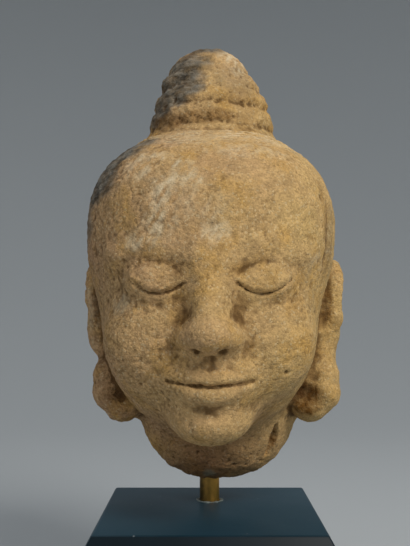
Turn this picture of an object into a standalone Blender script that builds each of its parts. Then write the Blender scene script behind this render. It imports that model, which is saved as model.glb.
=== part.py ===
"""Sandstone Buddha head on a brass rod and a black block.

The constants are in millimetres and the Blender scene is in metres. +Z is up, the face looks
towards -Y, and the origin is the centre of the block's underside.
"""
import math

import bpy
import numpy as np

MM = 0.001
TOUCH_GAP = 0.3

# Block: a square pyramid with its top cut off
BLOCK_HEIGHT = 55.0
BLOCK_TOP_WIDTH = 102.0
BLOCK_SIDE_SLOPE = 0.54
BLOCK_EDGE_BEVEL = 0.8

# Rod, which stands behind the middle of the block because the face overhangs its front
ROD_DIAMETER = 10.0
ROD_Y = 19.0
ROD_SIDES = 48
ROD_DEPTH_IN_BLOCK = 25.0
ROD_DEPTH_IN_NECK = 45.0
ROD_CHAMFER = 0.5

# Head, in heights above a level a little below the block's top
HEAD_LEVEL = BLOCK_HEIGHT - 1.5
NECK_BOTTOM = 14.0
CROWN = 184.0
HEAD_WIDTH = 120.0
HEAD_DEPTH = 132.0
HEAD_MIDDLE_Y = 3.0
HEAD_HEIGHT = 1.21 * HEAD_WIDTH
CHIN = CROWN - HEAD_HEIGHT

# Face, on the proportions of drawing books: eyes halfway up the head, the face in thirds
# from hairline to chin, and one eye's width between the eyes
HAIRLINE = CHIN + 0.86 * HEAD_HEIGHT
FACE_THIRD = (HAIRLINE - CHIN) / 3
EYE_LINE = CHIN + HEAD_HEIGHT / 2
NOSE_BASE = CHIN + FACE_THIRD
BROW = NOSE_BASE + FACE_THIRD
MOUTH_LINE = NOSE_BASE - FACE_THIRD / 3
EYE_WIDTH = HEAD_WIDTH / 5.2
MOUTH_WIDTH = 1.55 * EYE_WIDTH
FACE_FRONT_Y = -63.0
LINE_WIDTH = 2.0

# Hair knot: tiers from the bottom up, each with its base height, base radius and top radius
KNOT_X = 0.8
KNOT_Y = 5.0
KNOT_TOP = 230.0
KNOT_TIERS = (
    (187.0, 31.5, 28.6),
    (197.4, 29.4, 25.2),
    (207.0, 25.8, 22.0),
)
KNOT_CAP_BASE = 215.6
KNOT_CAP_RADIUS = 21.6
KNOT_FOOT = (174.0, 178.0, 181.5, 185.0)
KNOT_FOOT_RADII = (42.0, 38.5, 34.2, 32.0)
KNOT_GROOVE_DEPTHS = (0.9, 1.9, 1.2, 1.1)
KNOT_GROOVE_HEIGHT = 1.5
KNOT_LOCKS = 19
KNOT_LOCK_DEPTH = 0.5

# Ears
EAR_TOP = 124.0
EAR_WAIST = 74.0
EAR_HALF_WIDTH = 16.0
EAR_MIDDLE_Y = 8.0
LOBE_BOTTOM = 43.5
EAR_SPREAD = {-1: 64.5, 1: 68.5}
WAIST_SPREAD = {-1: 57.8, 1: 64.3}
LOBE_SPREAD = {-1: 57.2, 1: 63.6}

# Faceted solid
WRAP_SEGMENTS = 160
WRAP_RINGS = 120
WRAP_CENTRE = (0.0, 2.0, 100.0)
WRAP_REACH = 130.0
KNOT_SEGMENTS = 96
VOXEL = 1.6
SMOOTHING = 3
PRESS_REACH = 2.0
PRESS_ROUNDS = 2
PRESS_TOP = 175.0
HEAD_TRIANGLES = 8600
SHARP_ANGLE = 40.0


class Form:
    """A simple solid: its distance function, and a ball that holds all of it."""

    def __init__(self, distance, centre, reach):
        self.distance = distance
        self.centre = np.array(centre, float)
        self.reach = reach


def ellipsoid(centre, radii, power=2.0):
    """An ellipsoid, or a squarer one where power is over 2."""
    middle = np.array(centre, float)
    size = np.array(radii, float)

    def distance(p):
        q = np.maximum(np.abs(p - middle) / size, 1e-6)
        scale = np.sum(q ** power, axis=1) ** (1 / power)
        slope = scale ** (1 - power) * np.linalg.norm(q ** (power - 1) / size, axis=1)
        return (scale - 1) / slope

    return Form(distance, middle, max(radii))


def bar(points, radii):
    """A round-ended bar that follows a row of points, each with its own radius."""
    ends = np.array(points, float)
    middle = (ends.min(axis=0) + ends.max(axis=0)) / 2

    def distance(p):
        nearest = np.full(len(p), np.inf)
        for start, end, r0, r1 in zip(ends[:-1], ends[1:], radii[:-1], radii[1:]):
            along = end - start
            t = np.clip((p - start) @ along / (along @ along), 0, 1)
            gap = np.linalg.norm(p - start - t[:, None] * along, axis=1)
            nearest = np.minimum(nearest, gap - (r0 + (r1 - r0) * t))
        return nearest

    return Form(distance, middle, np.linalg.norm(ends - middle, axis=1).max() + max(radii))


class Clay:
    """Points in space, with their distance to a surface that forms are pressed on or cut from."""

    def __init__(self, points, form):
        self.points = points
        self.distance = form.distance(points)

    def add(self, form, blend, sign=1):
        """Press a form on, its joint rounded over about the blend width."""
        away = np.linalg.norm(self.points - form.centre, axis=1)
        near = away < form.reach + blend + 3
        clay = sign * self.distance[near]
        other = form.distance(self.points[near])
        h = np.clip(0.5 + 0.5 * (clay - other) / blend, 0, 1)
        self.distance[near] = sign * (clay * (1 - h) + other * h - blend * h * (1 - h))

    def cut(self, form, blend):
        """Take a form out, its edge rounded over about the blend width."""
        self.add(form, blend, sign=-1)

    def lift(self, height):
        """Raise or sink the surface by a height given at each point."""
        self.distance -= height


def fade(value, start, end):
    """0 before start and 1 after end, smoothly between."""
    t = np.clip((value - start) / (end - start), 0, 1)
    return t * t * (3 - 2 * t)


def ridge(offset, width):
    """1 on a line and falling to 0 beside it, over about the given width."""
    return np.exp(-(offset / width) ** 2)


def model_masses(points):
    """Cranium, cheeks, jaw and neck, without the features."""
    skull_half = 48.0
    skull = ellipsoid((0.4, HEAD_MIDDLE_Y, CROWN - skull_half),
                      (HEAD_WIDTH / 2, HEAD_DEPTH / 2, skull_half), 2.45)
    mask_z = CHIN + 58
    clay = Clay(points, skull)
    clay.add(ellipsoid((0, -6, mask_z), (52, -8 - FACE_FRONT_Y, mask_z - CHIN), 2.2), 12)
    clay.add(ellipsoid((0, 16, CROWN - 68), (53, 50, 44)), 14)
    clay.add(ellipsoid((4.2, 16, 62), (39.5, 33, 62 - NECK_BOTTOM), 2.35), 8)
    clay.add(ellipsoid((0, -46.0, CHIN + 11.5), (17, 16.5, 11.5)), 14)
    return clay


def model_eye(clay, side):
    """A closed eye: hollow under the brow, heavy lid, and the line where the lids meet."""
    clay.cut(ellipsoid((side * EYE_WIDTH * 0.96, -71, EYE_LINE + 6), (16, 9.5, 8.5)), 7)
    clay.add(ellipsoid((side * EYE_WIDTH, -49.6, EYE_LINE - 0.5), (14.2, 12.4, 9.8)), 4)
    x, y, z = clay.points.T
    t = (side * x - EYE_WIDTH) / (EYE_WIDTH / 2)
    here = fade(np.abs(t), 1.12, 0.95) * fade(y, -44, -48)
    meeting = EYE_LINE - 1.2 + 0.9 * t - 5.2 * np.clip(1 - t * t, 0, 1)
    clay.lift(here * -1.1 * ridge(z - meeting, LINE_WIDTH))


def model_brow(clay, side):
    """The brow: a soft arch from the bridge of the nose over the eye to the temple."""
    points = []
    steps = np.linspace(0, 1, 11)
    for t in steps:
        x = 4 + 1.7 * EYE_WIDTH * t
        z = BROW - 4 + 7 * math.sin(math.pi * (0.10 + 0.72 * t))
        y = FACE_FRONT_Y + 4.2 + 18 * (x / 50) ** 2.3
        points.append((side * x, y, z))
    clay.add(bar(points, [2.6 - 2.0 * t for t in steps]), 8)


def model_nose(clay):
    """The nose: bridge, tip, wings and the two nostrils under them."""
    clay.add(bar([(0, -57.0, EYE_LINE + 10), (0, -61.2, EYE_LINE - 3), (0, -68.8, NOSE_BASE + 9)],
                 [5.6, 6.4, 7.6]), 10)
    for side in (-1, 1):
        clay.add(ellipsoid((side * 8.2, -63.4, NOSE_BASE + 5.4), (5.2, 7.8, 4.8)), 7)
    clay.add(ellipsoid((0, -70.6, NOSE_BASE + 6.4), (7.2, 7.6, 5.6)), 6)
    for side in (-1, 1):
        clay.cut(ellipsoid((side * 5.4, -68.5, NOSE_BASE - 0.2), (2.8, 4.4, 2.4)), 1.8)


def model_mouth(clay):
    """The mouth: closed lips, the hollow above them and the crease over the chin."""
    half = MOUTH_WIDTH / 2
    clay.add(ellipsoid((0, -56.0, MOUTH_LINE + 2), (19, 9.5, 12.5)), 9)
    steps = np.linspace(-1, 1, 17)
    fullness = [1.0 + 2.2 * math.cos(t * math.pi / 2) for t in steps]
    bow = [0.8 * math.exp(-(t / 0.16) ** 2) for t in steps]
    upper = [(half * t, -65.2 + 8.0 * t * t, MOUTH_LINE + 2.6 * (1 - t * t) + 0.9 * t * t - dip)
             for t, dip in zip(steps, bow)]
    lower = [(0.84 * half * t, -64.4 + 6.5 * t * t, MOUTH_LINE - 4.2 * (1 - t * t) - 0.4) for t in steps]
    clay.add(bar(upper, fullness), 2.5)
    clay.add(bar(lower, [r * 1.3 for r in fullness]), 3)
    x, y, z = clay.points.T
    t = x / half
    here = fade(np.abs(t), 1.15, 0.98) * fade(y, -44, -50)
    meeting = MOUTH_LINE - 0.4 + 1.7 * t * t - 0.5 * ridge(t, 0.16)
    clay.lift(here * -1.4 * ridge(z - meeting, LINE_WIDTH))
    clay.lift(-0.35 * ridge(x, 3.4) * fade(z, MOUTH_LINE + 4, MOUTH_LINE + 7)
              * fade(z, NOSE_BASE + 1, NOSE_BASE - 2) * fade(y, -50, -56))
    clay.lift(-1.4 * ridge(np.hypot(x / 1.6, z - MOUTH_LINE + 12), 4.2) * fade(y, -44, -52))


def model_ear(clay, side):
    """One ear left standing from the block: rim, inner fold, hollow, and a long heavy lobe."""
    spread = EAR_SPREAD[side]
    waist = WAIST_SPREAD[side]
    lobe = LOBE_SPREAD[side]
    middle = (EAR_TOP + EAR_WAIST) / 2
    half_height = (EAR_TOP - EAR_WAIST) / 2

    def spot(x, y, z):
        return (side * x, y + 0.10 * (z - middle), z)

    def ring(scale, first, last, lift, radius):
        points = []
        for turn in np.radians(np.linspace(first, last, 17)):
            flare = 0.5 + 0.5 * math.cos(turn - 0.9)
            x = waist - radius + (spread - waist) * flare + lift
            points.append(spot(x, EAR_MIDDLE_Y + scale * (EAR_HALF_WIDTH - 3) * math.cos(turn),
                               middle + scale * (half_height - 3) * math.sin(turn)))
        taper = [radius * (0.55 + 0.45 * math.sin(math.pi * step / 16) ** 0.5) for step in range(17)]
        return bar(points, taper)

    clay.add(ellipsoid(spot(spread - 11, EAR_MIDDLE_Y, middle),
                       (8.5, EAR_HALF_WIDTH - 1, half_height - 1), 2.4), 3)
    clay.add(ellipsoid(spot(waist - 8, EAR_MIDDLE_Y, EAR_WAIST - 6), (7, 10, 18)), 3)
    clay.cut(ellipsoid(spot(spread, EAR_MIDDLE_Y - 1, middle), (7, 9, 16)), 2)
    clay.add(ring(1.0, 205, -65, 0, 3.0), 1.5)
    clay.add(ring(0.55, 75, -80, -0.5, 2.2), 1.5)
    clay.add(ellipsoid(spot(waist - 3.5, EAR_MIDDLE_Y - 12, middle - 4), (4.5, 4, 5.5)), 2)
    clay.add(ellipsoid(spot(lobe - 7.5, 2, 66), (7.5, 11, 9)), 2)
    clay.add(ellipsoid(spot(lobe - 8.5, 1, LOBE_BOTTOM + 15), (8.5, 12, 9)), 1.6)
    clay.add(ellipsoid(spot(lobe - 15, 1, LOBE_BOTTOM + 10), (9.5, 11, 9.5)), 3)
    clay.add(ellipsoid((side * 38, 14, 60), (15, 13, 17)), 6)
    clay.add(bar([(side * (waist - 10), 0, 88), (side * (lobe - 14), 2, 62)], [7, 8]), 4)
    clay.cut(bar([spot(waist + 1, EAR_MIDDLE_Y, EAR_WAIST + 3),
                  spot(lobe + 1, EAR_MIDDLE_Y - 3, 60)], [2.6, 2.6]), 2)


def head_distance(points):
    """Distance in millimetres from points to the surface of the head, negative inside."""
    clay = model_masses(points)
    for side in (-1, 1):
        clay.add(ellipsoid((side * 26, -42, NOSE_BASE + 3), (19, 14, 19)), 14)
        model_eye(clay, side)
        model_brow(clay, side)
    model_nose(clay)
    model_mouth(clay)
    for side in (-1, 1):
        model_ear(clay, side)
    clay.add(ellipsoid((KNOT_X, KNOT_Y, 171), (39.5, 39.5, 16.5), 2.3), 5)
    return clay.distance


def wrap_on_clay(vertices, distance, centre, reach):
    """Vertices moved along their rays from the centre to the outermost surface of the clay."""
    rays = vertices - centre
    rays /= np.linalg.norm(rays, axis=1)[:, None]
    outer = np.full(len(rays), reach)
    inner = np.full(len(rays), 0.0)
    open_rays = np.arange(len(rays))
    while len(open_rays):
        gap = distance(centre + rays[open_rays] * outer[open_rays, None])
        hit = gap <= 0
        inner[open_rays[hit]] = outer[open_rays[hit]]
        outer[open_rays[hit]] = inner[open_rays[hit]] + 3.0
        open_rays = open_rays[~hit]
        outer[open_rays] -= np.clip(0.75 * gap[~hit], 0.4, 3.0)
    for _ in range(9):
        middle = (inner + outer) / 2
        outside = distance(centre + rays * middle[:, None]) > 0
        outer = np.where(outside, middle, outer)
        inner = np.where(outside, inner, middle)
    return centre + rays * outer[:, None]


def mesh_points(mesh):
    points = np.empty(len(mesh.vertices) * 3)
    mesh.vertices.foreach_get("co", points)
    return points.reshape(-1, 3) / MM


def set_mesh_points(mesh, points):
    mesh.vertices.foreach_set("co", (points * MM).ravel())
    mesh.update()


def carved_mass():
    """The head without its knot: a globe whose vertices are pressed onto the clay."""
    bpy.ops.mesh.primitive_uv_sphere_add(segments=WRAP_SEGMENTS, ring_count=WRAP_RINGS, radius=0.1)
    globe = bpy.context.object
    points = mesh_points(globe.data)
    centre = np.array(WRAP_CENTRE)
    set_mesh_points(globe.data, wrap_on_clay(points + centre, head_distance, centre, WRAP_REACH))
    return globe


def knot_radius(height, angle):
    """Radius of the hair knot. The two upper grooves show only at the sides and back."""
    levels = [tier[0] for tier in KNOT_TIERS] + [KNOT_CAP_BASE]
    plain = np.interp(height, list(KNOT_FOOT) + levels,
                      list(KNOT_FOOT_RADII) + [tier[1] - 0.4 for tier in KNOT_TIERS] + [KNOT_CAP_RADIUS])
    t = np.clip((height - KNOT_CAP_BASE) / (KNOT_TOP - KNOT_CAP_BASE), 0, 1)
    cap = KNOT_CAP_RADIUS * (1 - t ** 1.35) ** 0.42
    plain = np.where(height > KNOT_CAP_BASE, cap, plain)
    front = -np.sin(angle)
    sides = fade(np.abs(np.cos(angle)), 0.55, 0.85)
    sides = np.maximum(sides, 0.7 * fade(front, 0.1, -0.3))
    wander = 0.8 * np.sin(3 * angle + 1.0) + 0.5 * np.sin(7 * angle)
    lock = np.abs(np.cos(KNOT_LOCKS * angle / 2)) * (0.55 + 0.45 * np.sin(5 * angle + 2))
    radius = plain.copy()
    for index, (level, base_radius, top_radius) in enumerate(KNOT_TIERS):
        shown = sides if index == 2 else np.ones(len(height))
        within = (height >= level) & (height < levels[index + 1])
        t = np.clip((height - level) / (levels[index + 1] - level), 0, 1)
        stepped = base_radius + (top_radius - base_radius) * t ** 1.6
        radius = np.where(within, radius + (stepped - radius) * shown, radius)
    for index, level in enumerate(levels):
        shown = 1.0 if index == 1 else sides
        if index == 0:
            shown = 0.35 + 0.65 * sides
        edge = height - level - 0.8 * lock - 0.4 * wander
        radius -= shown * KNOT_GROOVE_DEPTHS[index] * ridge(edge, KNOT_GROOVE_HEIGHT)
    return radius + KNOT_LOCK_DEPTH * lock * fade(height, 186, 189) * fade(height, 216, 210)


def hair_knot():
    """The tiered knot: a globe whose rings follow the profile, with soft locks round it."""
    bpy.ops.mesh.primitive_uv_sphere_add(segments=KNOT_SEGMENTS, ring_count=KNOT_SEGMENTS, radius=0.03)
    knot = bpy.context.object
    points = mesh_points(knot.data)
    angle = np.arctan2(points[:, 1], points[:, 0])
    level = np.arccos(np.clip(-points[:, 2] / 30.0, -1, 1)) / math.pi
    height = KNOT_FOOT[0] + (KNOT_TOP - KNOT_FOOT[0]) * level
    radius = knot_radius(height, angle)
    radius[level < 0.001] = 0
    set_mesh_points(knot.data, np.column_stack((
        KNOT_X + radius * np.cos(angle), KNOT_Y + radius * np.sin(angle), height)))
    return knot


def joined(pieces, name):
    """The pieces as one object, still loose inside each other."""
    bpy.ops.object.select_all(action="DESELECT")
    for piece in pieces:
        piece.select_set(True)
    bpy.context.view_layer.objects.active = pieces[0]
    bpy.ops.object.join()
    whole = bpy.context.object
    whole.name = name
    whole.data.name = name
    return whole


def apply_modifier(piece, modifier):
    bpy.ops.object.select_all(action="DESELECT")
    piece.select_set(True)
    bpy.context.view_layer.objects.active = piece
    bpy.ops.object.modifier_apply(modifier=modifier.name)


def fuse(piece, voxel, smoothing):
    """Loose overlapping shells made one skin, softened like worn stone."""
    remesh = piece.modifiers.new("one skin", "REMESH")
    remesh.mode = "VOXEL"
    remesh.voxel_size = voxel * MM
    apply_modifier(piece, remesh)
    smooth = piece.modifiers.new("worn", "SMOOTH")
    smooth.factor = 0.5
    smooth.iterations = smoothing
    apply_modifier(piece, smooth)


def thin_out(piece, triangles):
    """Fewer, larger triangles where the surface is plain."""
    present = sum(len(polygon.vertices) - 2 for polygon in piece.data.polygons)
    decimate = piece.modifiers.new("facets", "DECIMATE")
    decimate.ratio = triangles / present
    decimate.use_collapse_triangulate = True
    apply_modifier(piece, decimate)


def collection(name):
    group = bpy.data.collections.new(name)
    bpy.context.scene.collection.children.link(group)
    return group


def move_to(piece, group):
    for owner in list(piece.users_collection):
        owner.objects.unlink(piece)
    group.objects.link(piece)


def material(name, colour, roughness, metallic=0.0):
    """A Principled material with its colour given in linear values."""
    finish = bpy.data.materials.new(name)
    finish.use_nodes = True
    shader = finish.node_tree.nodes["Principled BSDF"]
    shader.inputs["Base Color"].default_value = (*colour, 1)
    shader.inputs["Roughness"].default_value = roughness
    shader.inputs["Metallic"].default_value = metallic
    return finish


def dress(piece, finish):
    piece.data.materials.clear()
    piece.data.materials.append(finish)
    piece.data.shade_smooth()
    piece.data.set_sharp_from_angle(angle=math.radians(SHARP_ANGLE))


def cut_bore(piece, name, bottom, top, cutters):
    """A round hole for the rod, from one height above the underside to another."""
    bpy.ops.mesh.primitive_cylinder_add(
        vertices=ROD_SIDES, radius=(ROD_DIAMETER / 2 + TOUCH_GAP) * MM, depth=(top - bottom) * MM,
        location=(0, ROD_Y * MM, (bottom + top) / 2 * MM))
    cutter = bpy.context.object
    cutter.name = name
    cutter.hide_render = True
    cutter.display_type = "WIRE"
    move_to(cutter, cutters)
    boolean = piece.modifiers.new(name, "BOOLEAN")
    boolean.operation = "DIFFERENCE"
    boolean.solver = "EXACT"
    boolean.object = cutter


def press_on_clay(piece):
    """The softened skin moved back onto the clay, except on the knot and its foot."""
    for _ in range(PRESS_ROUNDS):
        points = mesh_points(piece.data)
        gap = head_distance(points)
        slope = np.column_stack([head_distance(points + step) - gap for step in np.eye(3) * 0.2])
        slope /= np.linalg.norm(slope, axis=1)[:, None] + 1e-9
        hold = np.clip(PRESS_REACH - np.abs(gap), 0, 1) * fade(points[:, 2], PRESS_TOP, PRESS_TOP - 5)
        set_mesh_points(piece.data, points - slope * (gap * hold)[:, None])


def make_stone_head(parts, cutters):
    """The carved stone, standing in the place where the rod holds it."""
    head = joined([carved_mass(), hair_knot()], "stone_head")
    fuse(head, VOXEL, SMOOTHING)
    press_on_clay(head)
    set_mesh_points(head.data, mesh_points(head.data) + (0, 0, HEAD_LEVEL))
    thin_out(head, HEAD_TRIANGLES)
    move_to(head, parts)
    neck = HEAD_LEVEL + NECK_BOTTOM
    cut_bore(head, "neck_bore", neck - 10, neck + ROD_DEPTH_IN_NECK + TOUCH_GAP, cutters)
    dress(head, material("sandstone", (0.38, 0.25, 0.12), 0.9))


def make_brass_rod(parts):
    bottom = BLOCK_HEIGHT - ROD_DEPTH_IN_BLOCK
    top = HEAD_LEVEL + NECK_BOTTOM + ROD_DEPTH_IN_NECK
    bpy.ops.mesh.primitive_cylinder_add(
        vertices=ROD_SIDES, radius=ROD_DIAMETER / 2 * MM, depth=(top - bottom) * MM,
        location=(0, ROD_Y * MM, (bottom + top) / 2 * MM))
    rod = bpy.context.object
    rod.name = "brass_rod"
    move_to(rod, parts)
    bevel = rod.modifiers.new("chamfered ends", "BEVEL")
    bevel.width = ROD_CHAMFER * MM
    bevel.segments = 1
    bevel.angle_limit = math.radians(SHARP_ANGLE)
    dress(rod, material("brass", (0.30, 0.17, 0.04), 0.35, metallic=1.0))


def make_black_base(parts, cutters):
    top_half = BLOCK_TOP_WIDTH / 2
    bottom_half = top_half + BLOCK_HEIGHT * BLOCK_SIDE_SLOPE
    bpy.ops.mesh.primitive_cone_add(
        vertices=4, radius1=bottom_half * math.sqrt(2) * MM, radius2=top_half * math.sqrt(2) * MM,
        depth=BLOCK_HEIGHT * MM, location=(0, 0, BLOCK_HEIGHT / 2 * MM),
        rotation=(0, 0, math.radians(45)))
    base = bpy.context.object
    base.name = "black_base"
    bpy.ops.object.transform_apply(location=True, rotation=True, scale=True)
    move_to(base, parts)
    bevel = base.modifiers.new("eased edges", "BEVEL")
    bevel.width = BLOCK_EDGE_BEVEL * MM
    bevel.segments = 2
    bevel.angle_limit = math.radians(SHARP_ANGLE)
    cut_bore(base, "base_bore", BLOCK_HEIGHT - ROD_DEPTH_IN_BLOCK - TOUCH_GAP, BLOCK_HEIGHT + 10, cutters)
    dress(base, material("black lacquer", (0.012, 0.014, 0.017), 0.3))


def remove_scene_objects():
    for item in list(bpy.data.objects):
        bpy.data.objects.remove(item)


def main():
    remove_scene_objects()
    parts = collection("buddha_head")
    cutters = collection("cutters")
    make_stone_head(parts, cutters)
    make_brass_rod(parts)
    make_black_base(parts, cutters)


if __name__ == "__main__":
    main()
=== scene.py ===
"""The looks of a sandstone Buddha head that a brass rod holds above a black block.

Blender units are metres. The head is carved in millimetres, and its heights are counted from a
level a little below the block's top.
"""
import math

import bmesh
import bpy
import numpy as np
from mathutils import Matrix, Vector, noise


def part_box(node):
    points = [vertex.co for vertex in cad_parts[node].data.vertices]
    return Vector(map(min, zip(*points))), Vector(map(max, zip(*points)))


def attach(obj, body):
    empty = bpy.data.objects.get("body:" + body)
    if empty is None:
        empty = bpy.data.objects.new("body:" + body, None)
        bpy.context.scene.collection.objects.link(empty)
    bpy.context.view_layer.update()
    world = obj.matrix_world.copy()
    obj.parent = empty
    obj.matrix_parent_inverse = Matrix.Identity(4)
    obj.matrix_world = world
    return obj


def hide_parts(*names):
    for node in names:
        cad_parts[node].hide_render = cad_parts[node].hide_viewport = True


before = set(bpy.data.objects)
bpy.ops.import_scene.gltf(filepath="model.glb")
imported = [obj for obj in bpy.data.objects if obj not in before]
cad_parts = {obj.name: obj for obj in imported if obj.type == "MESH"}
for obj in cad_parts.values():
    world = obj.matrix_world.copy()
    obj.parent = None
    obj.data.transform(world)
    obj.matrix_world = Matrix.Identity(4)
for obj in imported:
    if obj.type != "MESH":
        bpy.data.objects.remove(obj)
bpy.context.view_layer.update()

bpy.ops.object.select_all(action="DESELECT")


# Black block
# The stand is a solid block cut to a low pyramid and sprayed with black satin lacquer. Its edges
# are eased with fine paper, and a hole is drilled down into it for the rod.
MM = 0.001
BLOCK_TOP_WIDTH = 102 * MM
BLOCK_EDGE_ROUND = 0.9 * MM
ROD_FIT = 0.3 * MM
DRILL_OVERRUN = 10 * MM
block_low, block_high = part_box("black_base")
rod_low, rod_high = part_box("brass_rod")
rod_radius = (rod_high.x - rod_low.x) / 2
rod_y = (rod_high.y + rod_low.y) / 2


def linear(hex_colour):
    """An sRGB hex colour as the linear colour that a shader takes."""
    channels = [int(hex_colour[i:i + 2], 16) / 255 for i in (1, 3, 5)]
    return [c / 12.92 if c <= 0.04045 else ((c + 0.055) / 1.055) ** 2.4 for c in channels] + [1]


def add_node(tree, kind, inputs=(), **settings):
    """A new shader node with its settings, its inputs set to values or linked to sockets."""
    made = tree.nodes.new(kind)
    for name, value in settings.items():
        setattr(made, name, value)
    for socket, value in dict(inputs).items():
        if isinstance(value, bpy.types.NodeSocket):
            tree.links.new(value, made.inputs[socket])
        else:
            made.inputs[socket].default_value = value
    return made


def new_material(name):
    """A new material, with its node tree and its Principled shader."""
    made = bpy.data.materials.new(name)
    made.use_nodes = True
    return made, made.node_tree, made.node_tree.nodes["Principled BSDF"]


def pick(piece, kind, wanted):
    """In edit mode, selects just the faces or edges for which wanted is true."""
    bpy.ops.object.mode_set(mode="EDIT")
    bpy.ops.mesh.select_mode(type="FACE" if kind == "faces" else "EDGE")
    bpy.ops.mesh.select_all(action="DESELECT")
    shape = bmesh.from_edit_mesh(piece.data)
    for part in getattr(shape, kind):
        if wanted(part):
            part.select_set(True)
    bmesh.update_edit_mesh(piece.data)


def apply_modifiers(piece):
    """Applies every modifier of the piece, as the modifier list's own menu does."""
    bpy.ops.object.select_all(action="DESELECT")
    piece.select_set(True)
    bpy.context.view_layer.objects.active = piece
    for modifier in list(piece.modifiers):
        bpy.ops.object.modifier_apply(modifier=modifier.name)


def drill(piece, radius, bottom, top):
    """A round hole at the rod's place, between two heights."""
    bpy.ops.mesh.primitive_cylinder_add(
        vertices=64, radius=radius, depth=top - bottom, location=(0, rod_y, (top + bottom) / 2))
    bit = bpy.context.object
    hole = piece.modifiers.new("hole", "BOOLEAN")
    hole.object = bit
    hole.solver = "MANIFOLD"
    apply_modifiers(piece)
    bpy.data.objects.remove(bit)


block_size = block_high - block_low
bpy.ops.mesh.primitive_cube_add(size=1, location=(block_high + block_low) / 2, scale=block_size)
block = bpy.context.object
block.name = "lacquered_block"
bpy.ops.object.transform_apply(location=True, rotation=True, scale=True)
pick(block, "faces", lambda face: face.normal.z > 0.9)
taper = BLOCK_TOP_WIDTH / block_size.x
bpy.ops.transform.resize(value=(taper, taper, 1))
pick(block, "edges", lambda edge: True)
bpy.ops.mesh.bevel(offset=BLOCK_EDGE_ROUND, segments=4, affect="EDGES")
bpy.ops.object.mode_set(mode="OBJECT")
drill(block, rod_radius + ROD_FIT, rod_low.z - ROD_FIT, block_high.z + DRILL_OVERRUN)
bpy.ops.object.shade_smooth_by_angle(angle=math.radians(30))

# Satin lacquer over a smooth ground: nearly black, with the gloss broken a little by the spray's
# fine orange peel. The faces that look up are painted a bluer cast, a painted reflection, and a
# few dust specks lie on them. Dust also brightens every face that is seen at a low angle, which
# the shader's sheen does.
lacquer, tree, shader = new_material("black satin lacquer")
ORANGE_PEEL = 1.6 * MM
LACQUER_CLOUD = 40 * MM
DUST_SPACING = 9 * MM
DUST_SIZE = 0.035

# A Mix node for colours takes its amount and its two colours on these inputs, and gives the
# mixed colour on this output
AMOUNT = 0
UNDER = 6
OVER = 7
MIXED = 2
place = add_node(tree, "ShaderNodeTexCoord").outputs["Object"]
peel = add_node(tree, "ShaderNodeTexNoise", {
    "Vector": place, "Scale": 1 / ORANGE_PEEL, "Detail": 2.0})
cloudy = add_node(tree, "ShaderNodeTexNoise", {
    "Vector": place, "Scale": 1 / LACQUER_CLOUD, "Detail": 4.0})
coat = add_node(tree, "ShaderNodeMix", {
    AMOUNT: cloudy.outputs["Fac"], UNDER: linear("#0b1418"), OVER: linear("#122028")},
    data_type="RGBA")
dust = add_node(tree, "ShaderNodeTexVoronoi", {
    "Vector": place, "Scale": 1 / DUST_SPACING, "Randomness": 1.0})
speck = add_node(tree, "ShaderNodeMapRange", {
    "Value": dust.outputs["Distance"], "From Min": DUST_SIZE * 1.6, "From Max": DUST_SIZE * 0.6})
up = add_node(tree, "ShaderNodeSeparateXYZ", {
    "Vector": add_node(tree, "ShaderNodeNewGeometry").outputs["Normal"]})
# Painted reflection: faces that look up are tinted bluer
top_painted_reflection = add_node(tree, "ShaderNodeMapRange", {
    "Value": up.outputs["Z"], "From Min": 0.6, "From Max": 1.0, "To Max": 0.4})
reflection_painted_coat = add_node(tree, "ShaderNodeMix", {
    AMOUNT: top_painted_reflection.outputs["Result"], UNDER: coat.outputs[MIXED], OVER: linear("#224a5c")},
    data_type="RGBA")
lying = add_node(tree, "ShaderNodeMath", {
    0: speck.outputs["Result"], 1: up.outputs["Z"]}, operation="MULTIPLY", use_clamp=True)
dusty = add_node(tree, "ShaderNodeMix", {
    AMOUNT: lying.outputs["Value"], UNDER: reflection_painted_coat.outputs[MIXED], OVER: linear("#7d8588")},
    data_type="RGBA")
satin = add_node(tree, "ShaderNodeMapRange", {
    "Value": cloudy.outputs["Fac"], "To Min": 0.34, "To Max": 0.48})
relief = add_node(tree, "ShaderNodeBump", {
    "Height": peel.outputs["Fac"], "Strength": 0.12, "Distance": 0.2 * MM})
tree.links.new(dusty.outputs[MIXED], shader.inputs["Base Color"])
tree.links.new(satin.outputs["Result"], shader.inputs["Roughness"])
tree.links.new(relief.outputs["Normal"], shader.inputs["Normal"])
shader.inputs["Specular IOR Level"].default_value = 0.14
shader.inputs["Sheen Weight"].default_value = 0.14
shader.inputs["Sheen Roughness"].default_value = 0.45
shader.inputs["Sheen Tint"].default_value = linear("#7fb6d2")
block.data.materials.clear()
block.data.materials.append(lacquer)
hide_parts("black_base")
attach(block, "root")


# Brass rod
# A short length of round brass bar, sawn off, chamfered at both ends and pushed into the block
# and into a hole drilled up through the neck. It was never polished and has gone dull brown.
ROD_CHAMFER = 0.5 * MM
rod_length = rod_high.z - rod_low.z
bpy.ops.mesh.primitive_cylinder_add(
    vertices=96, radius=rod_radius, depth=rod_length,
    location=(0, rod_y, (rod_high.z + rod_low.z) / 2))
rod = bpy.context.object
rod.name = "brass_bar"
bpy.ops.object.transform_apply(location=True, rotation=True, scale=True)
pick(rod, "edges", lambda edge: abs(edge.verts[0].co.z - edge.verts[1].co.z) < MM)
bpy.ops.mesh.bevel(offset=ROD_CHAMFER, segments=2, affect="EDGES")
bpy.ops.object.mode_set(mode="OBJECT")
bpy.ops.object.shade_smooth_by_angle(angle=math.radians(30))
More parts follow.
